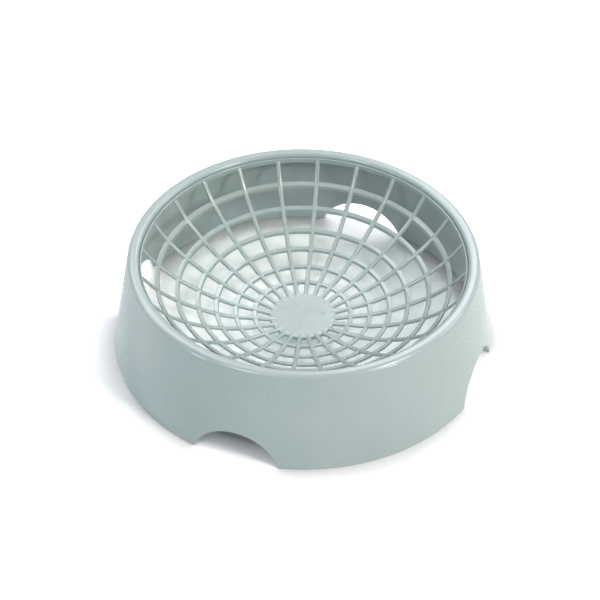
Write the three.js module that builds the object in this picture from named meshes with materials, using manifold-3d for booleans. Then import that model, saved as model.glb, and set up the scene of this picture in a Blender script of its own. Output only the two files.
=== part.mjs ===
// Nest bowl: a round stand with a conical skirt, and a dished grille that drops into its rim.
// Millimetres, +Z up. The origin is the centre of the foot, on the plane that the bowl stands on.
// One arch of the skirt faces -Y, and a rib of the grille runs over the middle of every arch.
import * as THREE from 'three';
import { mergeVertices } from 'three/addons/utils/BufferGeometryUtils.js';
import Module from 'manifold-3d';

const wasm = await Module();
wasm.setup();

// Stand
const footRadius = 125; // outside of the skirt, at the foot
const bowlHeight = 69; // foot to the crown of the rim
const rimRadius = 113.9; // outside of the skirt, its line carried up to the crown
const shoulderRadius = 3.2; // rounding from the crown of the rim into the skirt
const rimWidth = 7.3; // bore of the rim that takes the grille, inside that line
const mouthRounding = 2.5; // rounding from the crown of the rim into the bore
const skirtWall = 2.5;
const lipWall = 2.1; // wall between the bore and the hollow of the rim
const lipDrop = 2.4; // foot of the lip on that side, under the seat
const seatBevel = 0.8; // width of the conical seat, and its depth
const archWidth = 56.4; // arch in the skirt, at the foot
const archHeight = 20.3;
const archCornerRadius = 3; // rounding between the arch and the foot

// Grille
const fitGap = 0.3; // clearance between the grille and its seat
const hoopDrop = 2.7; // crown of the rim down to the top of the grille's hoop
const hoopHeight = 3.5;
const hoopWall = 1.2;
const ribStartDrop = 1.1; // top of the hoop down to where a rib joins it
const dishDrop = 47.7; // top of a rib at the hoop down to its top at the hub
const hubRadius = 21.8; // solid disc in the middle
const hubThickness = 2.6;
const ridgeRunOut = 3.6; // how far the ribs run on over the hub
const ridgeSink = 0.3; // top of a rib under the top of the hub, where it ends
const ribTopWidth = 2.2;
const ribFootWidth = 3.1;
const ribDepth = 2.1;
const ribProud = 0.6; // how far a rib stands above the rings
const ringWidth = 2.8; // across the top of a ring
const ringDraft = 0.6; // how much nearer the middle its foot reaches than its top
const ringDepthAtHoop = 2.8;
const ringDepthAtMiddle = 1.5;
const ribCount = 24;

// Each ring's radius as a share of the hoop's inside radius, and how far down the dish it lies
const ringRadiusShares = [0.909, 0.787, 0.659, 0.546, 0.424, 0.305];
const ringDropShares = [0.254, 0.481, 0.661, 0.788, 0.888, 0.948];
const ringTiltShare = 0.65; // tilt of a ring's top, as a share of the dish's slope there
const bendShare = 0.5; // where a rib bends, between one ring and the next

// How finely curves are cut
const rimSteps = 72;
const ringSteps = 48;
const roundSteps = 5;
const archSteps = 12;

// Worked out from the sizes above
const overrun = skirtWall;
const mouthRadius = rimRadius - rimWidth;
const hoopTopHeight = bowlHeight - hoopDrop;
const hoopFootHeight = hoopTopHeight - hoopHeight;
const hoopOutside = mouthRadius - fitGap;
const hoopInside = hoopOutside - hoopWall;
const ridgeStartHeight = hoopTopHeight - ribStartDrop;
const hubTopHeight = ridgeStartHeight - dishDrop - ribProud;
const skirtLean = Math.atan2(footRadius - rimRadius, bowlHeight);

const moulded = { roughness: 0.42, metalness: 0 };
const standPlastic = new THREE.MeshStandardMaterial({ color: 0xbccac9, ...moulded });
const grillePlastic = new THREE.MeshStandardMaterial({ color: 0xbecccb, ...moulded });

// Booleans
function toManifold(geometry) {
  const bare = geometry.clone();
  bare.deleteAttribute('normal');
  bare.deleteAttribute('uv');
  const merged = mergeVertices(bare);
  const vertProperties = new Float32Array(merged.attributes.position.array);
  const triVerts = new Uint32Array(merged.index.array);
  return new wasm.Manifold(new wasm.Mesh({ numProp: 3, vertProperties, triVerts }));
}

function toGeometry(solid) {
  const mesh = solid.getMesh();
  const geometry = new THREE.BufferGeometry();
  geometry.setAttribute('position', new THREE.BufferAttribute(mesh.vertProperties, 3));
  geometry.setIndex(new THREE.BufferAttribute(mesh.triVerts, 1));
  geometry.computeVertexNormals();
  return geometry;
}

// A closed outline of [radius, height] pairs, turned about Z; it runs anticlockwise with radius to the right
function turned(outline, steps) {
  const points = [...outline, outline[0]].map(([radius, height]) => new THREE.Vector2(radius, height));
  return new THREE.LatheGeometry(points, steps).rotateX(Math.PI / 2);
}

// Points of an arc from one angle to another, as [x, y] pairs
function arc(centreX, centreY, radius, fromAngle, toAngle, steps) {
  const points = [];
  for (let i = 0; i <= steps; i++) {
    const angle = fromAngle + ((toAngle - fromAngle) * i) / steps;
    points.push([centreX + radius * Math.cos(angle), centreY + radius * Math.sin(angle)]);
  }
  return points;
}

// Outside radius of the skirt at a height
function skirtRadius(height) {
  return footRadius - height * Math.tan(skirtLean);
}

// Skirt, rim, and the lip that hangs inside the rim
function standOutline() {
  const shoulderHeight = bowlHeight - shoulderRadius;
  const shoulderCentre = skirtRadius(shoulderHeight) - shoulderRadius / Math.cos(skirtLean);
  const wallAcross = skirtWall / Math.cos(skirtLean);
  const mouthCentre = mouthRadius + mouthRounding;
  const mouthHeight = bowlHeight - mouthRounding;
  const hollowTop = bowlHeight - skirtWall;
  const hollowInside = mouthRadius + lipWall;
  const hollowOutside = skirtRadius(hollowTop) - wallAcross;
  const seatBottom = hoopFootHeight - fitGap;
  return [
    [footRadius, 0],
    ...arc(shoulderCentre, shoulderHeight, shoulderRadius, skirtLean, Math.PI / 2, roundSteps),
    ...arc(mouthCentre, mouthHeight, mouthRounding, Math.PI / 2, Math.PI, roundSteps),
    [mouthRadius, seatBottom + seatBevel],
    [mouthRadius - seatBevel, seatBottom],
    [hollowInside, seatBottom - lipDrop],
    [hollowInside, hollowTop],
    [hollowOutside, hollowTop],
    [footRadius - wallAcross, 0],
  ];
}

// Long bar whose section is the arch with its rounded corners; it cuts two opposite arches at once
function archCutter() {
  const halfWidth = archWidth / 2;
  const radius = (halfWidth ** 2 + archHeight ** 2) / (2 * archHeight);
  const centreHeight = archHeight - radius;
  const cornerX = Math.sqrt((radius + archCornerRadius) ** 2 - (archCornerRadius - centreHeight) ** 2);
  const meetAngle = Math.atan2(archCornerRadius - centreHeight, cornerX);
  const outline = [
    [cornerX, -overrun],
    ...arc(cornerX, archCornerRadius, archCornerRadius, -Math.PI / 2, -Math.PI + meetAngle, roundSteps),
    ...arc(0, centreHeight, radius, meetAngle, Math.PI - meetAngle, archSteps).slice(1, -1),
    ...arc(-cornerX, archCornerRadius, archCornerRadius, -meetAngle, -Math.PI / 2, roundSteps),
    [-cornerX, -overrun],
  ];
  const shape = new THREE.Shape(outline.map(([x, y]) => new THREE.Vector2(x, y)));
  const depth = 2 * (footRadius + overrun);
  const bar = new THREE.ExtrudeGeometry(shape, { depth, bevelEnabled: false });
  return bar.translate(0, 0, -depth / 2).rotateX(Math.PI / 2);
}

function standGeometry() {
  let stand = toManifold(turned(standOutline(), rimSteps));
  for (const quarter of [0, 1]) {
    stand = stand.subtract(toManifold(archCutter().rotateZ((quarter * Math.PI) / 2)));
  }
  return toGeometry(stand);
}

// Line along the top of a rib, from the hoop to the edge of the hub, as points [radius, height]
function ridgeCurve() {
  const points = [new THREE.Vector2(hoopInside, ridgeStartHeight)];
  ringRadiusShares.forEach((share, i) => {
    const height = ridgeStartHeight - dishDrop * ringDropShares[i];
    points.push(new THREE.Vector2(share * hoopInside, height));
  });
  points.push(new THREE.Vector2(hubRadius, ridgeStartHeight - dishDrop));
  return new THREE.SplineCurve(points);
}

// One rib along +Y: a fin with sloping sides that follows the dish and runs out on the hub
function ribGeometry() {
  const curve = ridgeCurve();
  const bays = ringRadiusShares.length + 1;
  const ridge = [curve.getPoint(0)];
  for (let bay = 0; bay < bays; bay++) {
    ridge.push(curve.getPoint((bay + bendShare) / bays));
  }
  ridge.push(curve.getPoint(1));
  const stations = ridge.map(({ x, y }) => ({ radius: x, top: y, foot: y - ribDepth }));
  stations[0].radius += (hoopWall - seatBevel) / 2;
  stations.push({
    radius: hubRadius - ridgeRunOut,
    top: hubTopHeight - ridgeSink,
    foot: stations.at(-1).foot,
  });
  const position = [];
  for (const { radius, top, foot } of stations) {
    position.push(-ribFootWidth / 2, radius, foot, ribFootWidth / 2, radius, foot);
    position.push(ribTopWidth / 2, radius, top, -ribTopWidth / 2, radius, top);
  }
  const index = [0, 2, 1, 0, 3, 2];
  for (let station = 0; station < stations.length - 1; station++) {
    for (let side = 0; side < 4; side++) {
      const a = station * 4 + side;
      const b = station * 4 + ((side + 1) % 4);
      index.push(a, b, a + 4, b, b + 4, a + 4);
    }
  }
  const last = (stations.length - 1) * 4;
  index.push(last, last + 1, last + 2, last, last + 2, last + 3);
  const geometry = new THREE.BufferGeometry();
  geometry.setAttribute('position', new THREE.Float32BufferAttribute(position, 3));
  geometry.setIndex(index);
  return geometry;
}

function ringDepth(radius) {
  return ringDepthAtMiddle + ((ringDepthAtHoop - ringDepthAtMiddle) * radius) / hoopInside;
}

// Ring bar that ties the ribs together: it leans into the dish, and its inner side slopes
function ringOutline(number) {
  const radius = ringRadiusShares[number] * hoopInside;
  const ridgeHeight = ridgeStartHeight - dishDrop * ringDropShares[number];
  const curve = ridgeCurve();
  const tangent = curve.getTangent((number + 1) / (ringRadiusShares.length + 1));
  const tilt = ringTiltShare * (tangent.y / tangent.x) * (ringWidth / 2);
  const top = ridgeHeight - ribProud;
  const bottom = top - ringDepth(radius);
  return [
    [radius + ringWidth / 2, bottom + tilt],
    [radius + ringWidth / 2, top + tilt],
    [radius - ringWidth / 2, top - tilt],
    [radius - ringWidth / 2 - ringDraft, bottom - tilt],
  ];
}

// Upright band round the grille, bevelled at its foot, where it sits in the rim
function hoopOutline() {
  return [
    [hoopOutside, hoopFootHeight + seatBevel],
    [hoopOutside, hoopTopHeight],
    [hoopInside, hoopTopHeight],
    [hoopInside, hoopFootHeight],
    [hoopOutside - seatBevel, hoopFootHeight],
  ];
}

function hubGeometry() {
  const points = [
    new THREE.Vector2(0, hubTopHeight - hubThickness),
    new THREE.Vector2(hubRadius, hubTopHeight - hubThickness),
    new THREE.Vector2(hubRadius, hubTopHeight),
    new THREE.Vector2(0, hubTopHeight),
  ];
  return new THREE.LatheGeometry(points, ringSteps).rotateX(Math.PI / 2);
}

function grilleGeometry() {
  let grille = toManifold(turned(hoopOutline(), rimSteps)).add(toManifold(hubGeometry()));
  for (let number = 0; number < ringRadiusShares.length; number++) {
    grille = grille.add(toManifold(turned(ringOutline(number), ringSteps)));
  }
  for (let number = 0; number < ribCount; number++) {
    const turn = (number * 2 * Math.PI) / ribCount;
    grille = grille.add(toManifold(ribGeometry().rotateZ(turn)));
  }
  return toGeometry(grille);
}

function named(name, geometry, material) {
  const mesh = new THREE.Mesh(geometry, material);
  mesh.name = name;
  return mesh;
}

const bowl = new THREE.Group();
bowl.add(named('stand', standGeometry(), standPlastic));
bowl.add(named('grille', grilleGeometry(), grillePlastic));

export default bowl;
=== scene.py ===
import math

import bmesh
import bpy
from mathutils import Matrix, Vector


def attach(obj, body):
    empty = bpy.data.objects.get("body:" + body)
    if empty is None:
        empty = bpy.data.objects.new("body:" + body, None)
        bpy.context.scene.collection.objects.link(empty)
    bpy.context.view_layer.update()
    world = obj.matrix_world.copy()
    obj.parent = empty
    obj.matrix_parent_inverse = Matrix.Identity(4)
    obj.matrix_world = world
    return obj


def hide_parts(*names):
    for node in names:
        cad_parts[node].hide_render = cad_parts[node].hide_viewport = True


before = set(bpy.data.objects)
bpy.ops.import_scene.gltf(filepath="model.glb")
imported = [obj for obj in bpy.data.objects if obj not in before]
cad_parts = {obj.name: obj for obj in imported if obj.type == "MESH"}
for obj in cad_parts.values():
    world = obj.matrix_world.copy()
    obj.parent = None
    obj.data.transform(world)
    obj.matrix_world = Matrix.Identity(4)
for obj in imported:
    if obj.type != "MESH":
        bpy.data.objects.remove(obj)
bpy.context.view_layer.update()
print("frame loaded:", ", ".join(sorted(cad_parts)))

mm = 0.001
centre = (0, 0, 0)
fullTurn = 2 * math.pi
tiny = 0.01 * mm         # two points closer than this are the same point
spinWeld = 0.001 * mm    # how close the points of a spin have to be to be merged
sharpAngle = math.radians(50)         # edges sharper than this aren't shaded smooth
sortFrom = (0.737, 1.291, 2.413)      # a place to which no two points are equally far


# Small helpers, one operator habit each, that both pieces use

def deselectAll():
    if bpy.context.object and bpy.context.object.mode != 'OBJECT':
        bpy.ops.object.mode_set(mode='OBJECT')
    bpy.ops.object.select_all(action='DESELECT')


def makeActive(piece):
    deselectAll()
    piece.select_set(True)
    bpy.context.view_layer.objects.active = piece


def editPiece(piece):
    makeActive(piece)
    bpy.ops.object.mode_set(mode='EDIT')
    bpy.ops.mesh.select_all(action='DESELECT')


def leaveEdit():
    bpy.ops.object.mode_set(mode='OBJECT')


def pick(piece, mode, wanted):
    # selects what the test says yes to, and gives back how many that was
    modes = {'verts': 'VERT', 'edges': 'EDGE', 'faces': 'FACE'}
    bpy.ops.mesh.select_mode(type=modes[mode])
    bpy.ops.mesh.select_all(action='DESELECT')
    mesh = bmesh.from_edit_mesh(piece.data)
    mesh.normal_update()
    found = [part for part in getattr(mesh, mode) if wanted(part)]
    for part in found:
        part.select_set(True)
    mesh.select_flush_mode()
    bmesh.update_edit_mesh(piece.data)
    return len(found)


def applyModifiers(piece):
    makeActive(piece)
    for modifier in list(piece.modifiers):
        bpy.ops.object.modifier_apply(modifier=modifier.name)


def sortParts(piece):
    # a boolean leaves its points and faces in another order each run, which a sort undoes
    editPiece(piece)
    bpy.ops.mesh.select_all(action='SELECT')
    bpy.context.scene.cursor.location = sortFrom
    bpy.ops.mesh.sort_elements(type='CURSOR_DISTANCE', elements={'VERT', 'EDGE', 'FACE'})
    leaveEdit()


def turnSelected(angle):
    # transform.rotate turns the other way with no window open
    bpy.ops.transform.rotate(value=-angle, orient_axis='Z', center_override=centre)


def drawOutline(name, points, rounded=()):
    # an outline drawn as by hand: one vertex, pulled on from point to point, then closed.
    # rounded holds (corner number, radius, segments) for each corner that gets a radius
    deselectAll()
    bpy.ops.mesh.primitive_plane_add(size=mm, location=centre)
    piece = bpy.context.object
    piece.name = name
    bpy.ops.object.mode_set(mode='EDIT')
    bpy.ops.mesh.select_mode(type='VERT')
    bpy.ops.mesh.select_all(action='SELECT')
    bpy.ops.mesh.merge(type='CENTER')
    bpy.ops.transform.translate(value=points[0])
    points = [Vector(point) for point in points]
    for here, there in zip(points, points[1:]):
        bpy.ops.mesh.extrude_vertices_move(TRANSFORM_OT_translate={"value": there - here})
    ends = (points[0], points[-1])
    pick(piece, 'verts', lambda v: min((v.co - end).length for end in ends) < tiny)
    bpy.ops.mesh.edge_face_add()
    for number, radius, segments in rounded:
        corner = points[number]
        before = points[number - 1] - corner
        after = points[(number + 1) % len(points)] - corner
        pick(piece, 'verts', lambda v: (v.co - corner).length < tiny)
        bpy.ops.mesh.bevel(offset=radius / math.tan(before.angle(after) / 2),
                           segments=segments, affect='VERTICES', clamp_overlap=False)
    return piece


def spinOutline(piece, steps, fromAngle=0, angle=fullTurn):
    # turns the outline about the bowl's axis; a part turn is closed at both ends
    wholeTurn = angle == fullTurn
    bpy.ops.mesh.select_mode(type='VERT')
    bpy.ops.mesh.select_all(action='SELECT')
    if not wholeTurn:
        turnSelected(fromAngle)
        bpy.ops.mesh.edge_face_add()
    bpy.ops.mesh.spin(steps=steps, angle=angle, use_auto_merge=wholeTurn,
                      center=centre, axis=(0, 0, -1))
    bpy.ops.mesh.select_all(action='SELECT')
    bpy.ops.mesh.remove_doubles(threshold=spinWeld)
    bpy.ops.mesh.normals_make_consistent(inside=False)
    leaveEdit()


def smoothPiece(piece):
    makeActive(piece)
    bpy.ops.object.shade_smooth_by_angle(angle=sharpAngle)
    weighted = piece.modifiers.new("evenShading", 'WEIGHTED_NORMAL')
    weighted.keep_sharp = True
    applyModifiers(piece)


# Stand: skirt, rounded rim and the lip that carries the grille

stand = {
    "footRadius": 125 * mm,
    "height": 69 * mm,
    "skirtTopRadius": 113.9 * mm,    # the skirt's line carried up to the crown of the rim
    "wall": 2.5 * mm,
    "shoulderRound": 3.2 * mm,
    "mouthRound": 2.5 * mm,
    "mouthRadius": 106.6 * mm,
    "lipWall": 2.1 * mm,
    "lipFoot": 60.1 * mm,
    "seatHeight": 62.5 * mm,
    "seatBevel": 0.8 * mm,
    "columns": 288,
    "roundSegments": 8,
    "archWidth": 56.4 * mm,
    "archHeight": 20.3 * mm,
    "archCorner": 3 * mm,
    "archSegments": 40,
    "archWeld": 0.25 * mm,           # points closer than this after the cut are merged
    "edgeRound": 0.35 * mm,
    "edgeSegments": 3,
    "edgeAngle": math.radians(40),   # edges sharper than this get the small radius
    "overrun": 5 * mm,               # how far a cutter runs on past what it cuts
}


def makeArchCutter():
    s = stand
    half = s["archWidth"] / 2
    radius = (half ** 2 + s["archHeight"] ** 2) / (2 * s["archHeight"])
    drop = radius - s["archHeight"]
    corner = s["archCorner"]
    # where the corner's rounding leaves the floor, and its angle where it meets the arch
    out = math.sqrt((radius + corner) ** 2 - (corner + drop) ** 2)
    meet = math.atan2(corner + drop, out)
    outline = [(out, 0, -s["overrun"])]
    for step in range(s["roundSegments"]):
        turn = -math.pi / 2 - (math.pi / 2 - meet) * step / s["roundSegments"]
        outline.append((out + corner * math.cos(turn), 0,
                        corner + corner * math.sin(turn)))
    for step in range(s["archSegments"] + 1):
        turn = meet + (math.pi - 2 * meet) * step / s["archSegments"]
        outline.append((radius * math.cos(turn), 0, radius * math.sin(turn) - drop))
    for step in range(s["roundSegments"]):
        x, y, z = outline[s["roundSegments"] - step]
        outline.append((-x, y, z))
    outline.append((-out, 0, -s["overrun"]))
    cutter = drawOutline("archCutter", outline)
    bpy.ops.mesh.select_all(action='SELECT')
    bpy.ops.mesh.edge_face_add()
    reach = s["footRadius"] + s["overrun"]
    bpy.ops.transform.translate(value=(0, -reach, 0))
    bpy.ops.mesh.extrude_region_move(TRANSFORM_OT_translate={"value": (0, 2 * reach, 0)})
    bpy.ops.mesh.select_all(action='SELECT')
    bpy.ops.mesh.normals_make_consistent(inside=False)
    leaveEdit()
    return cutter


def makeStand():
    s = stand
    slope = (s["footRadius"] - s["skirtTopRadius"]) / s["height"]
    wall = s["wall"] * math.hypot(1, slope)
    top = s["height"]
    hollowTop = top - s["wall"]
    hollowInside = s["mouthRadius"] + s["lipWall"]
    section = [
        (s["footRadius"], 0, 0),
        (s["skirtTopRadius"], 0, top),
        (s["mouthRadius"], 0, top),
        (s["mouthRadius"], 0, s["seatHeight"] + s["seatBevel"]),
        (s["mouthRadius"] - s["seatBevel"], 0, s["seatHeight"]),
        (hollowInside, 0, s["lipFoot"]),
        (hollowInside, 0, hollowTop),
        (s["footRadius"] - wall - slope * hollowTop, 0, hollowTop),
        (s["footRadius"] - wall, 0, 0),
    ]
    rounded = [(1, s["shoulderRound"], s["roundSegments"]),
               (2, s["mouthRound"], s["roundSegments"])]
    piece = drawOutline("standShell", section, rounded)
    spinOutline(piece, s["columns"])
    for turn in (0, fullTurn / 4):
        cutter = makeArchCutter()
        editPiece(cutter)
        bpy.ops.mesh.select_all(action='SELECT')
        turnSelected(turn)
        leaveEdit()
        cut = piece.modifiers.new("archCut", 'BOOLEAN')
        cut.operation = 'DIFFERENCE'
        cut.solver = 'EXACT'
        cut.object = cutter
        applyModifiers(piece)
        bpy.data.objects.remove(cutter)
        sortParts(piece)
    # the cut leaves points that all but touch: they are pulled together before the edges
    # get their small radius
    editPiece(piece)
    pick(piece, 'verts', lambda v: v.co.z < s["archHeight"] + tiny)
    bpy.ops.mesh.remove_doubles(threshold=s["archWeld"])
    leaveEdit()
    edges = piece.modifiers.new("mouldedEdges", 'BEVEL')
    edges.width = s["edgeRound"]
    edges.segments = s["edgeSegments"]
    edges.limit_method = 'ANGLE'
    edges.angle_limit = s["edgeAngle"]
    edges.use_clamp_overlap = False
    applyModifiers(piece)
    smoothPiece(piece)
    print("stand made:", len(piece.data.polygons), "faces")
    return piece


standShell = makeStand()


# Grille: a dish of ribs and rings. One fifteen degree slice is modelled and copied round

grille = {
    "ribCount": 24,
    "hoopOutside": 106.3 * mm,
    "hoopInside": 105.1 * mm,
    "hoopTop": 66.3 * mm,
    "hoopFoot": 62.8 * mm,
    "seatBevel": 0.8 * mm,
    "hoopRound": 0.5 * mm,
    "hoopSteps": 10,
    # the line along the top of a rib: radius and height in millimetres at the hoop,
    # at each ring and at the hub
    "dishLine": [(105.1, 65.2), (95.54, 53.08), (82.71, 42.26), (69.26, 33.67),
                 (57.38, 27.61), (44.56, 22.84), (32.06, 19.98), (21.8, 17.5)],
    "baySteps": 4,
    "ribCrownWidth": 1.4 * mm,       # the flat part of a rib's crowned top
    "ribTopWidth": 2.9 * mm,
    "ribFootWidth": 3.1 * mm,
    "ribDepth": 2.1 * mm,
    "crownDrop": 0.45 * mm,
    "ribCrownRound": 1.5 * mm,
    "ribTopRound": 0.6 * mm,
    "ribFootRound": 0.3 * mm,
    "ribIntoHoop": 0.2 * mm,
    "ribProud": 0.6 * mm,
    "ringWidth": 2.8 * mm,
    "ringDraft": 0.6 * mm,           # how much nearer the middle a ring's foot reaches
    "ringDepthAtHoop": 2.8 * mm,
    "ringDepthAtMiddle": 1.5 * mm,
    "ringTilt": 0.65,                # how much of the dish's slope a ring's top follows
    "slopeReach": 0.02,              # how far along the dish line that slope is taken
    "ringTopRound": 0.45 * mm,
    "ringFootRound": 0.3 * mm,
    "ringSteps": [10, 8, 6, 6, 4, 2],
    "hubTop": 16.9 * mm,
    "hubThickness": 2.6 * mm,
    "hubRound": 0.4 * mm,
    "hubSteps": 4,
    "runOut": 6.0 * mm,              # how far a rib runs on over the hub
    "runOutSink": 0.3 * mm,          # how deep its top has sunk in by then
    "roundSegments": 2,
    "footSegments": 1,
    "fillet": 0.5 * mm,
    "filletSegments": 2,
    "filletAngle": math.radians(35),
    "endFacing": 0.999,              # how squarely the slice's end faces look along it
    "sliceWeld": 0.005 * mm,
    # the gate mark, a fine curved ridge on the disc
    "gatePlace": (12.4 * mm, 9.9 * mm, 0),
    "gateRadius": 3.5 * mm,
    "gateFrom": math.radians(190),
    "gateTurn": math.radians(100),
    "gateWidth": 0.6 * mm,
    "gateHeight": 0.3 * mm,
    "gateSteps": 16,
}
sliceAngle = fullTurn / grille["ribCount"]


def alongDish(place):
    # a smooth line through the dish line's points; place counts them from the hoop
    points = [Vector(point) * mm for point in grille["dishLine"]]
    bay = min(int(place), len(points) - 2)
    t = place - bay
    a, b = points[max(bay - 1, 0)], points[bay]
    c, d = points[bay + 1], points[min(bay + 2, len(points) - 1)]
    startPull, endPull = (c - a) / 2, (d - b) / 2
    return (b + startPull * t + (3 * (c - b) - 2 * startPull - endPull) * t ** 2
            + (2 * (b - c) + startPull + endPull) * t ** 3)


def ringDepth(radius):
    g = grille
    return g["ringDepthAtMiddle"] + ((g["ringDepthAtHoop"] - g["ringDepthAtMiddle"])
                                     * radius / g["hoopInside"])


def makeRib():
    g = grille
    lastPlace = len(g["dishLine"]) - 1
    steps = lastPlace * g["baySteps"]
    line = [alongDish(step / g["baySteps"]) for step in range(steps + 1)]
    stations = [(point.x, point.y, point.y - g["ribDepth"]) for point in line]
    radius, top, foot = stations[0]
    stations[0] = (radius + g["ribIntoHoop"], top, foot)
    radius, top, foot = stations[-1]
    end = g["hubTop"] - g["runOutSink"]
    for step in range(1, g["baySteps"] + 1):
        share = step / g["baySteps"]
        stations.append((radius - share * g["runOut"], top + share * (end - top), foot))
    radius, top, foot = stations[0]
    halfFoot, halfTop = g["ribFootWidth"] / 2, g["ribTopWidth"] / 2
    halfCrown, shoulder = g["ribCrownWidth"] / 2, top - g["crownDrop"]
    section = [(radius, -halfFoot, foot), (radius, halfFoot, foot),
               (radius, halfTop, shoulder), (radius, halfCrown, top),
               (radius, -halfCrown, top), (radius, -halfTop, shoulder)]
    rounds = [g["ribFootRound"], g["ribTopRound"], g["ribCrownRound"]]
    few, more = g["footSegments"], g["roundSegments"]
    rounded = [(0, rounds[0], few), (1, rounds[0], few), (2, rounds[1], more),
               (3, rounds[2], more), (4, rounds[2], more), (5, rounds[1], more)]
    rib = drawOutline("rib", section, rounded)
    bpy.ops.mesh.select_all(action='SELECT')
    bpy.ops.mesh.edge_face_add()
    for here, there in zip(stations, stations[1:]):
        move = (there[0] - here[0], 0, there[2] - here[2])
        bpy.ops.mesh.extrude_region_move(TRANSFORM_OT_translate={"value": move})
        grow = (there[1] - there[2]) / (here[1] - here[2])
        bpy.ops.transform.resize(value=(1, 1, grow),
                                 center_override=(there[0], 0, there[2]))
    bpy.ops.mesh.select_all(action='SELECT')
    bpy.ops.mesh.normals_make_consistent(inside=False)
    leaveEdit()
    return rib


def makeRing(number):
    g = grille
    place = number + 1
    radius, ridge = alongDish(place)
    ahead, behind = alongDish(place + g["slopeReach"]), alongDish(place - g["slopeReach"])
    slope = (ahead.y - behind.y) / (ahead.x - behind.x)
    half = g["ringWidth"] / 2
    tilt = g["ringTilt"] * slope * half
    top = ridge - g["ribProud"]
    foot = top - ringDepth(radius)
    section = [(radius + half, 0, foot + tilt), (radius + half, 0, top + tilt),
               (radius - half, 0, top - tilt),
               (radius - half - g["ringDraft"], 0, foot - tilt)]
    few, more = g["footSegments"], g["roundSegments"]
    rounded = [(0, g["ringFootRound"], few), (1, g["ringTopRound"], more),
               (2, g["ringTopRound"], more), (3, g["ringFootRound"], few)]
    ring = drawOutline("ring", section, rounded)
    spinOutline(ring, g["ringSteps"][number], -sliceAngle / 2, sliceAngle)
    return ring


def makeHoop():
    g = grille
    section = [(g["hoopOutside"], 0, g["hoopFoot"] + g["seatBevel"]),
               (g["hoopOutside"], 0, g["hoopTop"]), (g["hoopInside"], 0, g["hoopTop"]),
               (g["hoopInside"], 0, g["hoopFoot"]),
               (g["hoopOutside"] - g["seatBevel"], 0, g["hoopFoot"])]
    hoop = drawOutline("hoop", section, [(corner, g["hoopRound"], g["roundSegments"])
                                         for corner in (1, 2)])
    spinOutline(hoop, g["hoopSteps"], -sliceAngle / 2, sliceAngle)
    return hoop


def makeHub():
    g = grille
    edge = g["dishLine"][-1][0] * mm
    foot = g["hubTop"] - g["hubThickness"]
    section = [(0, 0, foot), (edge, 0, foot), (edge, 0, g["hubTop"]), (0, 0, g["hubTop"])]
    hub = drawOutline("hub", section, [(corner, g["hubRound"], g["roundSegments"])
                                       for corner in (1, 2)])
    spinOutline(hub, g["hubSteps"], -sliceAngle / 2, sliceAngle)
    return hub


def makeGateMark():
    g = grille
    half, top = g["gateWidth"] / 2, g["hubTop"] + g["gateHeight"]
    foot = g["hubTop"] - g["gateHeight"]
    section = [(g["gateRadius"] - half, 0, foot), (g["gateRadius"] + half, 0, foot),
               (g["gateRadius"] + half / 2, 0, top), (g["gateRadius"] - half / 2, 0, top)]
    mark = drawOutline("gateMark", section)
    spinOutline(mark, g["gateSteps"], g["gateFrom"], g["gateTurn"])
    editPiece(mark)
    bpy.ops.mesh.select_all(action='SELECT')
    bpy.ops.transform.translate(value=g["gatePlace"])
    leaveEdit()
    return mark


def makeGrille():
    g = grille
    bars = [makeHoop(), makeHub()] + [makeRing(n) for n in range(len(g["ringSteps"]))]
    deselectAll()
    for bar in bars:
        bar.select_set(True)
    bpy.context.view_layer.objects.active = bars[0]
    bpy.ops.object.join()
    bars = bars[0]
    piece = makeRib()
    piece.name = "grilleDish"
    joined = piece.modifiers.new("ribToBars", 'BOOLEAN')
    joined.operation = 'UNION'
    joined.solver = 'EXACT'
    joined.object = bars
    applyModifiers(piece)
    bpy.data.objects.remove(bars)
    sortParts(piece)
    # a moulding has a small radius wherever two bars meet
    editPiece(piece)
    hub = g["dishLine"][-1][0] * mm
    found = pick(piece, 'edges', lambda e: e.is_manifold and not e.is_convex
                 and e.calc_face_angle() > g["filletAngle"]
                 and (e.verts[0].co + e.verts[1].co).xy.length / 2 > hub - tiny)
    bpy.ops.mesh.bevel(offset=g["fillet"], segments=g["filletSegments"], affect='EDGES',
                       clamp_overlap=True)
    # the slice's two cut ends go, and it is copied round
    ends = [Vector((-math.sin(side * sliceAngle / 2), math.cos(side * sliceAngle / 2), 0))
            for side in (-1, 1)]
    capped = pick(piece, 'faces', lambda f: min(abs(f.calc_center_median().dot(end))
                                                for end in ends) < tiny
                  and max(abs(f.normal.dot(end)) for end in ends) > g["endFacing"])
    bpy.ops.mesh.delete(type='FACE')
    print("slice: filleted edges", found, "end faces", capped)
    bpy.ops.mesh.select_all(action='SELECT')
    bpy.ops.mesh.spin(steps=g["ribCount"] - 1, dupli=True, angle=fullTurn - sliceAngle,
                      center=centre, axis=(0, 0, 1))
    bpy.ops.mesh.select_all(action='SELECT')
    bpy.ops.mesh.remove_doubles(threshold=g["sliceWeld"])
    bpy.ops.mesh.normals_make_consistent(inside=False)
    leaveEdit()
    mark = makeGateMark()
    makeActive(piece)
    mark.select_set(True)
    bpy.ops.object.join()
    smoothPiece(piece)
    print("grille made:", len(piece.data.polygons), "faces")
    return piece


grilleDish = makeGrille()


# Materials. The effects that both plastics show are node groups, built once

def newGroup(name, numbersIn, numbersOut):
    # every group takes coordinates and some numbers, and gives numbers back
    group = bpy.data.node_groups.new(name, 'ShaderNodeTree')
    group.interface.new_socket(name="Coordinates", in_out='INPUT',
                               socket_type='NodeSocketVector')
    for way, labels in (('INPUT', numbersIn), ('OUTPUT', numbersOut)):
        for label in labels:
            group.interface.new_socket(name=label, in_out=way,
                                       socket_type='NodeSocketFloat')
    return group, group.nodes.new('NodeGroupInput'), group.nodes.new('NodeGroupOutput')


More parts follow.
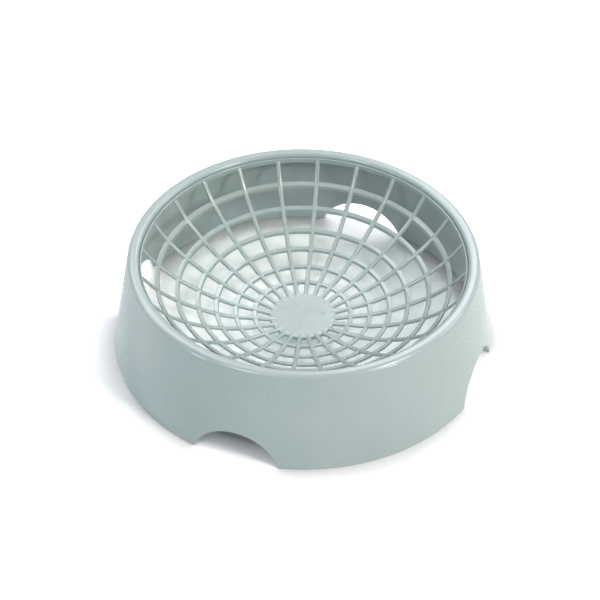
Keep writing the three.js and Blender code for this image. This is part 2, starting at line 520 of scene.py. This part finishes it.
def addNode(tree, kind, links=None, values=None, **settings):
    # a node with its settings, what feeds it, and the numbers typed into it
    node = tree.nodes.new(kind)
    for name, value in settings.items():
        setattr(node, name, value)
    for socket, source in (links or {}).items():
        tree.links.new(source, node.inputs[socket])
    for socket, value in (values or {}).items():
        node.inputs[socket].default_value = value
    return node


def remap(tree, source, low, high, newLow=0.0, newHigh=1.0):
    node = addNode(tree, 'ShaderNodeMapRange', {0: source},
                   {1: low, 2: high, 3: newLow, 4: newHigh}, clamp=True)
    return node.outputs[0]


def calculate(tree, operation, a, b):
    links, values = {}, {}
    for socket, term in ((0, a), (1, b)):
        (values if isinstance(term, (int, float)) else links)[socket] = term
    return addNode(tree, 'ShaderNodeMath', links, values, operation=operation).outputs[0]


grainSettings = {
    "fine": {"Detail": 3.0, "Roughness": 0.6},
    "fineShare": 0.15,
    "slow": {"Scale": 28.0, "Detail": 2.0, "Roughness": 0.4},
}


def makeSatinGrain():
    # the fine spark-eroded texture of the mould, on top of a slow unevenness of the wall
    group, start, end = newGroup("satinGrain", ("Grain Size", "Waviness"),
                                 ("Height", "Speckle"))
    coordinates = start.outputs["Coordinates"]
    fine = addNode(group, 'ShaderNodeTexNoise',
                   {"Vector": coordinates, "Scale": start.outputs["Grain Size"]},
                   grainSettings["fine"])
    slow = addNode(group, 'ShaderNodeTexNoise', {"Vector": coordinates},
                   grainSettings["slow"])
    wave = calculate(group, 'MULTIPLY', slow.outputs[0], start.outputs["Waviness"])
    pits = calculate(group, 'MULTIPLY', fine.outputs[0], grainSettings["fineShare"])
    height = calculate(group, 'ADD', pits, wave)
    group.links.new(height, end.inputs["Height"])
    group.links.new(fine.outputs[0], end.inputs["Speckle"])
    return group


mottleSettings = {
    "cloud": {"Detail": 4.0, "Roughness": 0.55, "Distortion": 0.6},
    "streakStretch": (60.0, 60.0, 7.0),
    "streak": {"Scale": 1.0, "Detail": 3.0, "Roughness": 0.5, "Distortion": 1.2},
    "middle": 0.5,                   # the noise's own middle, taken off to centre it
}


def makeFlowMottle():
    # the cloudy tone of the plastic, with a few streaks where it flowed in the mould
    group, start, end = newGroup("flowMottle", ("Cloud Size", "Streaks"), ("Tone",))
    coordinates = start.outputs["Coordinates"]
    cloud = addNode(group, 'ShaderNodeTexNoise',
                    {"Vector": coordinates, "Scale": start.outputs["Cloud Size"]},
                    mottleSettings["cloud"])
    tall = addNode(group, 'ShaderNodeMapping', {"Vector": coordinates},
                   {"Scale": mottleSettings["streakStretch"]})
    streak = addNode(group, 'ShaderNodeTexNoise', {"Vector": tall.outputs[0]},
                     mottleSettings["streak"])
    clouds, streaks = [calculate(group, 'SUBTRACT', noise.outputs[0],
                                 mottleSettings["middle"]) for noise in (cloud, streak)]
    streaks = calculate(group, 'MULTIPLY', streaks, start.outputs["Streaks"])
    tone = calculate(group, 'ADD', clouds, streaks)
    group.links.new(tone, end.inputs["Tone"])
    return group


scuffSettings = {
    "where": {"Scale": 34.0, "Detail": 2.0},
    "directions": ((0.35, 46.0), (-0.8, 38.0), (1.35, 52.0)),    # turn, and how thin
    "lean": 0.6,
    "along": 6.0,
    "cells": {"Scale": 1.6, "Randomness": 1.0},
    "hairline": (0.0, 0.012, 1.0, 0.0),
    "scratchedFrom": (0.56, 0.68),
    "rubbedFrom": (0.5, 0.75),
}


def makeHandlingScuffs():
    # hairline scratches in three directions, only where a slow noise lets them through
    c = scuffSettings
    group, start, end = newGroup("handlingScuffs", ("Amount",), ("Scratches", "Rubbed"))
    coordinates = start.outputs["Coordinates"]
    where = addNode(group, 'ShaderNodeTexNoise', {"Vector": coordinates}, c["where"])
    total = 0.0
    for turn, thin in c["directions"]:
        lean = addNode(group, 'ShaderNodeMapping', {"Vector": coordinates},
                       {"Rotation": (turn, c["lean"] * turn, turn),
                        "Scale": (c["along"], thin, thin)})
        cells = addNode(group, 'ShaderNodeTexVoronoi', {"Vector": lean.outputs[0]},
                        c["cells"], feature='DISTANCE_TO_EDGE')
        line = remap(group, cells.outputs["Distance"], *c["hairline"])
        total = calculate(group, 'MAXIMUM', total, line)
    scratched = remap(group, where.outputs[0], *c["scratchedFrom"])
    scratches = calculate(group, 'MULTIPLY', total, scratched)
    scratches = calculate(group, 'MULTIPLY', scratches, start.outputs["Amount"])
    rubbed = remap(group, where.outputs[0], *c["rubbedFrom"])
    rubbed = calculate(group, 'MULTIPLY', rubbed, start.outputs["Amount"])
    group.links.new(scratches, end.inputs["Scratches"])
    group.links.new(rubbed, end.inputs["Rubbed"])
    return group


satinGrain = makeSatinGrain()
flowMottle = makeFlowMottle()
handlingScuffs = makeHandlingScuffs()

# what both plastics have in common, then what each has of its own
plasticLook = {
    "toneRange": (-0.3, 0.3),
    "scratchTint": 0.35,
    "scratchDepth": 0.3,
    "roughness": 0.25,
    "speckleRoughness": 0.06,
    "rubbedRoughness": 0.1,
    "bumpStrength": 0.14,
    "ior": 1.5,
    "gloss": 0.7,
    "sheen": 0.85,
    "sheenRoughness": 0.12,
}
standLook = {
    **plasticLook,
    "lightColour": (0.585, 0.695, 0.69),
    "darkColour": (0.535, 0.645, 0.645),
    "scratchColour": (0.36, 0.40, 0.40),
    "grainSize": 900.0,
    "waviness": 0.6,
    "cloudSize": 22.0,
    "streaks": 0.4,
    "scuffs": 1.0,
    "wornBelow": (0.008, 0.022, 1.0, 0.35),      # heights, and the wear at each
    "wornAbove": (0.064, 0.068, 0.0, 0.8),
    "bumpDepth": 0.1 * mm,
}
grilleLook = {
    **plasticLook,
    "lightColour": (0.59, 0.695, 0.685),
    "darkColour": (0.48, 0.585, 0.575),
    "scratchColour": (0.36, 0.40, 0.39),
    "grainSize": 1100.0,
    "waviness": 0.35,
    "cloudSize": 150.0,
    "streaks": 0.15,
    "scuffs": 0.8,
    "wornBelow": (0.017, 0.02, 1.0, 0.2),
    "wornAbove": (0.064, 0.066, 0.0, 0.6),
    "bumpDepth": 0.08 * mm,
}


def makeBowlPlastic(name, look):
    material = bpy.data.materials.new(name)
    material.use_nodes = True
    tree = material.node_tree
    tree.nodes.clear()
    coordinates = addNode(tree, 'ShaderNodeTexCoord').outputs["Object"]

    # the group goes in before its links and values, because it brings their sockets
    def place(group, links, values):
        return addNode(tree, 'ShaderNodeGroup', {"Coordinates": coordinates, **links},
                       values, node_tree=group)

    grain = place(satinGrain, {}, {"Grain Size": look["grainSize"],
                                   "Waviness": look["waviness"]})
    mottle = place(flowMottle, {}, {"Cloud Size": look["cloudSize"],
                                    "Streaks": look["streaks"]})
    # the foot and the top are handled most
    height = addNode(tree, 'ShaderNodeSeparateXYZ', {0: coordinates}).outputs["Z"]
    worn = calculate(tree, 'MAXIMUM', remap(tree, height, *look["wornBelow"]),
                     remap(tree, height, *look["wornAbove"]))
    worn = calculate(tree, 'MULTIPLY', worn, look["scuffs"])
    scuffs = place(handlingScuffs, {"Amount": worn}, {})

    tone = remap(tree, mottle.outputs["Tone"], *look["toneRange"])
    clean = addNode(tree, 'ShaderNodeMix', {"Factor": tone},
                    {6: (*look["darkColour"], 1), 7: (*look["lightColour"], 1)},
                    data_type='RGBA').outputs[2]
    tint = calculate(tree, 'MULTIPLY', scuffs.outputs["Scratches"], look["scratchTint"])
    scratched = addNode(tree, 'ShaderNodeMix', {"Factor": tint, 6: clean},
                        {7: (*look["scratchColour"], 1)}, data_type='RGBA').outputs[2]
    speckle = calculate(tree, 'MULTIPLY', grain.outputs["Speckle"],
                        look["speckleRoughness"])
    rubbed = calculate(tree, 'MULTIPLY', scuffs.outputs["Rubbed"],
                       look["rubbedRoughness"])
    roughness = calculate(tree, 'ADD', look["roughness"], speckle)
    roughness = calculate(tree, 'ADD', roughness, rubbed)
    depth = calculate(tree, 'MULTIPLY', scuffs.outputs["Scratches"], look["scratchDepth"])
    relief = calculate(tree, 'SUBTRACT', grain.outputs["Height"], depth)
    bump = addNode(tree, 'ShaderNodeBump', {"Height": relief},
                   {"Strength": look["bumpStrength"], "Distance": look["bumpDepth"]})
    shader = addNode(tree, 'ShaderNodeBsdfPrincipled',
                     {"Base Color": scratched, "Roughness": roughness,
                      "Normal": bump.outputs[0]},
                     {"IOR": look["ior"], "Specular IOR Level": look["gloss"],
                      "Coat Weight": look["sheen"],
                      "Coat Roughness": look["sheenRoughness"]})
    addNode(tree, 'ShaderNodeOutputMaterial', {"Surface": shader.outputs[0]})
    return material


def finishPiece(piece, name, look, body, node):
    piece.data.materials.clear()
    piece.data.materials.append(makeBowlPlastic(name, look))
    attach(piece, body)
    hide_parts(node)


finishPiece(standShell, "standPlastic", standLook, "stand", "stand")
finishPiece(grilleDish, "grillePlastic", grilleLook, "grille", "grille")
print("materials made")


# Studio: a white floor, ten soft lamps and the photograph's camera

studio = {
    "floorSize": 8.0,
    "floorDrop": 0.05 * mm,
    "floorColour": (0.9, 0.9, 0.9),
    "floorSeen": (2.3, 2.23, 2.25),
    "floorMirrored": (1.3, 1.3, 1.3),
    "shadowFrom": (0.1, 0.114),      # the contact shadow starts between these radii
    "shadowReach": 0.028,
    "shadowSamples": 8,
    "shadowDepth": 1.35,
    "archShadeAcross": (-0.1, -0.085, 1.0, 0.0),
    "archShadeOut": (0.106, 0.127, 1.0, 0.0),
    "archShade": 0.85,
    "farLift": 3.0,                  # the power of the distance by which the floor lifts
    "worldColour": (0.93, 0.97, 1.0),
    "worldStrength": 0.02,
    "lampAim": (0, 0, 0.05),
    # each lamp's place, size, power and colour
    "lamps": {
        "rightLamp": ((1.66, -0.293, 1.414), 0.75, 10.0, (0.98, 1.0, 0.9)),
        "glintLamp": ((1.6, -0.45, 1.45), 0.26, 5.6, (1.0, 1.0, 0.93)),
        "topLamp": ((0, -0.6, 2.12), 1.0, 2.0, (0.95, 1.0, 0.97)),
        "nearLamp": ((-0.532, -1.462, 1.556), 0.6, 6.4, (0.93, 0.96, 1.0)),
        "sideLamp": ((1.476, 1.034, 1.262), 0.8, 5.2, (1.0, 0.97, 0.95)),
        "backLamp": ((0, 1.556, 1.556), 1.0, 9.5, (0.88, 0.92, 1.0)),
        "cornerLamp": ((-1.0, 1.0, 1.685), 1.0, 8.0, (0.9, 1.0, 0.97)),
        "leftLamp": ((-1.685, 0, 1.414), 0.8, 5.6, (0.97, 0.93, 1.0)),
        "lowLeftLamp": ((-1.413, -1.684, 0.12), 0.22, 5.8, (0.7, 0.92, 1.0)),
        "lowRightLamp": ((2.065, -0.752, 0.12), 0.22, 6.0, (0.88, 0.92, 1.0)),
    },
    "cameraPlace": (0.36135, -1.01144, 0.98927),
    "cameraTurn": (48.240, -0.664, 20.362),      # degrees
    "lens": 131.16,
    "sensor": 36.0,
}


def makeFloor():
    deselectAll()
    bpy.ops.mesh.primitive_plane_add(size=studio["floorSize"],
                                     location=(0, 0, -studio["floorDrop"]))
    floor = bpy.context.object
    floor.name = "floor"
    material = bpy.data.materials.new("whiteFloor")
    material.use_nodes = True
    tree = material.node_tree
    tree.nodes.clear()
    # the bowl's contact shadow, painted into the floor's colour from an ambient
    # occlusion, from just under the foot outwards
    coordinates = addNode(tree, 'ShaderNodeTexCoord').outputs["Object"]
    away = addNode(tree, 'ShaderNodeVectorMath', {0: coordinates}, operation='LENGTH')
    outside = remap(tree, away.outputs["Value"], *studio["shadowFrom"])
    nearness = addNode(tree, 'ShaderNodeAmbientOcclusion', None,
                       {"Distance": studio["shadowReach"]},
                       samples=studio["shadowSamples"])
    clearance = calculate(tree, 'POWER', nearness.outputs["AO"], studio["shadowDepth"])
    shadow = addNode(tree, 'ShaderNodeMix', {0: outside, 3: clearance},
                     {2: 1.0}).outputs[0]
    # painted shade on the floor inside the front arch, where the front of the skirt keeps
    # the light off
    across = addNode(tree, 'ShaderNodeSeparateXYZ', {0: coordinates}).outputs["Y"]
    inArch = calculate(tree, 'MULTIPLY',
                       remap(tree, across, *studio["archShadeAcross"]),
                       remap(tree, away.outputs["Value"], *studio["archShadeOut"]))
    shade = calculate(tree, 'MULTIPLY', inArch, studio["archShade"])
    shadow = calculate(tree, 'MULTIPLY', shadow, calculate(tree, 'SUBTRACT', 1.0, shade))
    # the lamps fade away from the bowl, and a low camera still sees the far floor white
    lift = calculate(tree, 'POWER', away.outputs["Value"], studio["farLift"])
    level = calculate(tree, 'MULTIPLY', shadow, calculate(tree, 'MAXIMUM', lift, 1.0))
    bright = addNode(tree, 'ShaderNodeVectorMath', {3: level},
                     {0: studio["floorSeen"]}, operation='SCALE').outputs[0]
    path = addNode(tree, 'ShaderNodeLightPath')
    mirrored = calculate(tree, 'MAXIMUM', path.outputs["Is Glossy Ray"],
                         path.outputs["Is Transmission Ray"])
    unseen = addNode(tree, 'ShaderNodeMix', {"Factor": mirrored},
                     {6: (*studio["floorColour"], 1), 7: (*studio["floorMirrored"], 1)},
                     data_type='RGBA').outputs[2]
    colour = addNode(tree, 'ShaderNodeMix',
                     {"Factor": path.outputs["Is Camera Ray"], 6: unseen, 7: bright},
                     data_type='RGBA').outputs[2]
    shader = addNode(tree, 'ShaderNodeBsdfDiffuse', {"Color": colour})
    addNode(tree, 'ShaderNodeOutputMaterial', {"Surface": shader.outputs[0]})
    floor.data.materials.append(material)


def makeWorld():
    world = bpy.data.worlds.new("studioAir")
    world.use_nodes = True
    tree = world.node_tree
    tree.nodes.clear()
    path = addNode(tree, 'ShaderNodeLightPath')
    light = addNode(tree, 'ShaderNodeBackground', None,
                    {"Color": (*studio["worldColour"], 1),
                     "Strength": studio["worldStrength"]})
    white = addNode(tree, 'ShaderNodeBackground', None,
                    {"Color": (1, 1, 1, 1), "Strength": 1.0})
    # the camera and the plastic's sheen see white walls, which give little light
    seen = calculate(tree, 'MAXIMUM', path.outputs["Is Camera Ray"],
                     path.outputs["Is Glossy Ray"])
    mix = addNode(tree, 'ShaderNodeMixShader',
                  {0: seen, 1: light.outputs[0], 2: white.outputs[0]})
    addNode(tree, 'ShaderNodeOutputWorld', {"Surface": mix.outputs[0]})
    bpy.context.scene.world = world


def makeLamps():
    for name, (place, size, power, colour) in studio["lamps"].items():
        deselectAll()
        bpy.ops.object.light_add(type='AREA', location=place)
        lamp = bpy.context.object
        lamp.name = name
        fromAim = Vector(place) - Vector(studio["lampAim"])
        lamp.rotation_euler = fromAim.to_track_quat('Z', 'Y').to_euler()
        lamp.data.shape = 'DISK'
        lamp.data.size = size
        lamp.data.energy = power
        lamp.data.color = colour


def makeCamera():
    deselectAll()
    bpy.ops.object.camera_add(location=studio["cameraPlace"],
                              rotation=[math.radians(a) for a in studio["cameraTurn"]])
    camera = bpy.context.object
    camera.name = "photoCamera"
    camera.data.lens = studio["lens"]
    camera.data.sensor_width = studio["sensor"]
    bpy.context.scene.camera = camera


makeFloor()
makeWorld()
makeLamps()
makeCamera()
bpy.context.scene.view_settings.view_transform = 'Standard'
print("studio made")
